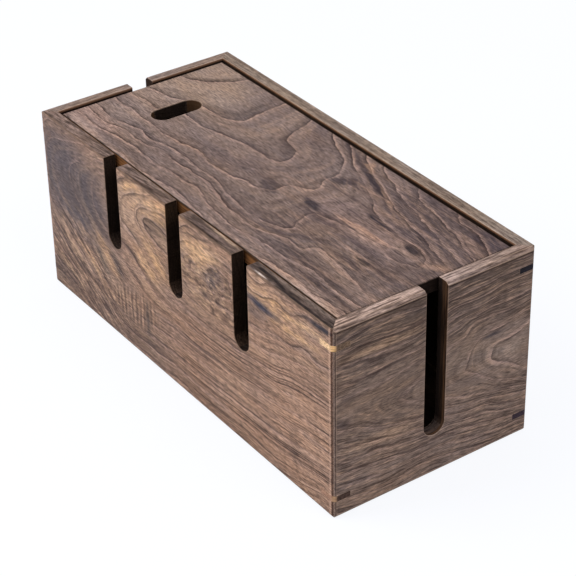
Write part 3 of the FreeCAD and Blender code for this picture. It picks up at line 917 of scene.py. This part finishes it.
colour = wood.zoned(ragged, colour, lid_zones, firm=1.8)
lid_eyes = [
    ((141, -20), (20, 7.5), 0, 0.7, (172, 142, 126)),
    ((140, -20), (15, 5.5), 0, 1.0, (68, 56, 52)),
    ((147, 15), (22, 13), 0, 0.5, (168, 140, 126)),
    ((148, 18), (15, 6), -4, 1.0, (62, 52, 54)),
    ((146, 8), (12, 3), 0, 0.7, (80, 66, 64)),
    ((-29, 33), (20, 8), -38, 0.55, (82, 70, 70)),
    ((-97, 46), (7, 30), 8, 0.4, (88, 76, 72)),
    ((-104, 32), (16, 6), 20, 0.35, (88, 76, 72)),
]
colour = wood.zoned(flat, colour, lid_eyes, firm=1.5)
right_side = wood.patch(flat, (130, 0), (230, 150))
streaked = wood.grain(flat, (70.0, 4.0, 9.0), 33.0, detail=4.0)
colour = wood.spread(colour, tint(72, 58, 60), streaked, 0.5, 0.64, 0.7, right_side)
flamed = wood.grain(flat, (50.0, 5.0, 9.0), 34.0, detail=4.0)
colour = wood.spread(colour, tint(174, 142, 126), flamed, 0.52, 0.66, 0.6, right_side)
streaks = wood.times(wood.streaky(flat, height, 3.0, 35.0), 0.2)
colour = wood.blend(streaks, colour, tint(80, 66, 66))
before = wood.calc("SUBTRACT", 1.0, wood.calc("FRACT", height))
halo = wood.near(wood.calc("DIVIDE", before, wood.calc("MAXIMUM", slope, 0.02)), 8.0)
halo = wood.times(halo, wood.patch(flat, (-70, 30), (150, 80), firm=1.6), 0.42)
colour = wood.blend(halo, colour, tint(80, 68, 70))
colour = wood.lined(
    flat, colour, height, slope, 30.0, fine=0.28, many=5.0, length=50.0,
    dark=wood.scaled(right_side, -0.2, 0.58), light=wood.scaled(right_side, -0.1, 0.44),
)
# A painted shadow on the lid's top along its edges, where the gap to the walls lies in shade;
# weaker at its ends.
from_end = wood.off(ALONG_X, lid_high.x)
from_side = wood.off(ALONG_Y, lid_high.y)
at_end = wood.times(wood.ramp(from_end, 0.5, 1.4, 1.0, 0.0), 0.35)
at_side = wood.ramp(from_side, 0.6, 1.3, 1.0, 0.0)
gap_shadow = wood.times(wood.calc("MAXIMUM", at_end, at_side), 0.92)
colour = wood.blend(gap_shadow, colour, tint(18, 11, 8))
# A painted shade on the lid's sides and underside: orange-brown near its sides, darker further in.
edge_shade = wood.veined(
    flat, (30.0, 12.0, 1.3), 37.0, 0.4, 0.62, tint(70, 42, 18), tint(128, 84, 48), detail=2.0
)
edge_shade = wood.blend(wood.ramp(from_side, 2.0, 8.0), edge_shade, tint(66, 43, 21))
lid_wood = wood.oiled(flat, colour, 30.0, flecks=0.46, shaded=edge_shade)
lid_drawing = [
    (0, [(-187, 78)]),
    (1, [(-187, 36), (-170, 43), (-160, 53), (-150, 67), (-146, 76)]),
    (2, [(-187, 3), (-170, 6), (-157, 9), (-148, 15), (-127, 20), (-107, 21), (-99, 23),
         (-91, 29), (-88, 34), (-90, 45), (-91, 60), (-93, 70), (-92, 78)]),
    (3, [(-187, -14), (-150, -12), (-125, 2), (-107, 2), (-95, 2), (-87, 5), (-70, 8),
         (-60, 11), (-40, 13), (-22, 13), (-15, 16), (-13, 20), (-15, 27), (-20, 35),
         (-27, 39), (-40, 42), (-45, 45), (-48, 53), (-50, 62), (-53, 70), (-56, 78)]),
    (4, [(-187, -27), (-160, -27), (-127, -29), (-107, -30), (-87, -28), (-47, -27),
         (-20, -26), (-10, -20), (10, -17), (18, -10), (17, -2), (20, 4), (30, 9), (36, 14),
         (33, 22), (27, 28), (28, 38), (22, 50), (14, 58), (3, 63), (-15, 70), (-28, 78)]),
    (5, [(-187, -48), (-165, -49), (-150, -47), (-137, -44), (-107, -43), (-97, -40),
         (-87, -38), (-47, -39), (-22, -38), (-10, -41), (0, -44), (25, -46), (42, -46),
         (52, -44), (62, -41), (71, -37), (69, -30), (65, -20), (62, -12), (64, -7),
         (80, -2), (100, 2), (125, 5), (137, 2), (150, 0), (162, 4), (170, 11), (160, 20),
         (150, 23), (135, 22), (118, 26), (100, 27), (90, 28), (83, 32), (77, 38), (60, 45),
         (40, 54), (20, 62), (4, 71), (-6, 78)]),
    (6, [(-187, -55), (-165, -56), (-137, -52), (-107, -50), (-87, -46), (-47, -45),
         (-22, -44), (-10, -48), (0, -50), (30, -54), (50, -55), (70, -49), (80, -45),
         (97, -45), (102, -40), (104, -35), (112, -33), (125, -34), (140, -37), (155, -40),
         (187, -42), (20, 75), (30, 69), (45, 62), (60, 57), (80, 50), (100, 43),
         (120, 38), (140, 35), (155, 31), (170, 27), (187, 24)]),
    (7, [(-187, -66), (-127, -62), (-87, -61), (-40, -58), (0, -61), (60, -62), (100, -61),
         (150, -58), (187, -56), (48, 70), (80, 60), (110, 53), (150, 42), (187, 33)]),
    (8, [(-187, -76), (-100, -74), (0, -74), (85, -77), (95, -74), (105, -72), (135, -70),
         (165, -71), (187, -70), (100, 66), (150, 56), (187, 44)]),
    (9, [(140, 70), (187, 58), (0, -84), (187, -82)]),
]
lid_board = sanded("lid_board", "lid", ALONG_X)
marks = lid_board.data.attributes
for face in lid_board.data.polygons:
    normal = face.normal
    # Faces that look down or sideways across the lid take the painted shade.
    shaded = normal.z < -0.5 or (abs(normal.z) < 0.4 and abs(normal.y) > 0.35)
    marks["inner"].data[face.index].value = shaded
    if max(abs(face.center.x) - lid_high.x, abs(face.center.y) - lid_high.y) > -LID_EDGE:
        marks["arris"].data[face.index].value = 0.0
grown(lid_board, *lid_lay, lid_drawing, softness=5.0, pitch=5.0)
fit(lid_board, "lid", "lid", lid_wood)

# The floor. A seamless white sweep, lit softly from above, on which the box leaves only a faint
# shadow. To the camera part of its light is its own, which keeps it as white as the photograph's.
sweep = Finish("white_sweep")
PAPER = (0.86, 0.89, 0.96, 1.0)
GLOW = (0.962, 0.972, 1.0, 1.0)
paper = sweep.step("BsdfDiffuse", PAPER)
glow = sweep.step("Emission", GLOW, 1.05)
share = sweep.times(sweep.step("LightPath"), 0.87)
sweep.step("OutputMaterial", sweep.step("MixShader", share, paper, glow))
bpy.ops.mesh.primitive_plane_add(size=12.0)
floor = bpy.context.object
floor.name = "floor"
floor.data.materials.append(sweep.material)

# The light. A large soft lamp over the front left, a weaker one over the right, and a white room
# that gives little light itself.
ROOM_LIGHT = 0.55
SEEN_WHITE = 1.0
world = bpy.data.worlds.new("room")
scene.world = world
world.use_nodes = True
room = world.node_tree
room.nodes.clear()
rays = room.nodes.new("ShaderNodeLightPath")
mixed = room.nodes.new("ShaderNodeMixShader")
room.links.new(rays.outputs["Is Camera Ray"], mixed.inputs[0])
for socket, strength in ((mixed.inputs[1], ROOM_LIGHT), (mixed.inputs[2], SEEN_WHITE)):
    white = room.nodes.new("ShaderNodeBackground")
    white.inputs["Color"].default_value = (1, 1, 1, 1)
    white.inputs["Strength"].default_value = strength
    room.links.new(white.outputs[0], socket)
room_output = room.nodes.new("ShaderNodeOutputWorld")
room.links.new(mixed.outputs[0], room_output.inputs[0])


def lamp(name, place, size, power):
    """A square softbox that faces the box."""
    light = bpy.data.lights.new(name, "AREA")
    light.size = size
    light.energy = power
    holder = bpy.data.objects.new(name, light)
    holder.location = place
    holder.rotation_mode = "QUATERNION"
    aim = Vector((0.0, 0.0, cad_high.z / 2)) - Vector(place)
    holder.rotation_quaternion = aim.to_track_quat("-Z", "Y")
    scene.collection.objects.link(holder)


lamp("key_softbox", (-0.7, -1.3, 1.6), size=1.2, power=26.0)
lamp("fill_softbox", (1.4, 0.2, 1.5), size=1.0, power=10.0)

# The camera. It stands where the photograph was taken from, which the box's own edges give away.
# AIM_RIGHT and AIM_UP are how far its aim lies from the middle of the box.
AZIMUTH = math.radians(55.261)
ELEVATION = math.radians(32.737)
ROLL = math.radians(-1.129)
DISTANCE = 1.57784
FOCAL_PIXELS = 2006.3756
FRAME_PIXELS = 576
AIM_RIGHT = 0.01004
AIM_UP = -0.0182
back = Vector((
    math.sin(AZIMUTH) * math.cos(ELEVATION),
    -math.cos(AZIMUTH) * math.cos(ELEVATION),
    math.sin(ELEVATION),
))
level_right = Vector((math.cos(AZIMUTH), math.sin(AZIMUTH), 0.0))
level_up = back.cross(level_right)
right = math.cos(ROLL) * level_right + math.sin(ROLL) * level_up
up = math.cos(ROLL) * level_up - math.sin(ROLL) * level_right
target = Vector((0.0, 0.0, cad_high.z / 2)) + AIM_RIGHT * right + AIM_UP * up
lens = bpy.data.cameras.new("portrait_camera")
lens.lens = lens.sensor_width * FOCAL_PIXELS / FRAME_PIXELS
camera = bpy.data.objects.new("portrait_camera", lens)
turn = Matrix((right, up, back)).transposed().to_4x4()
camera.matrix_world = Matrix.Translation(target + back * DISTANCE) @ turn
scene.collection.objects.link(camera)
scene.camera = camera
scene.view_settings.view_transform = "Standard"
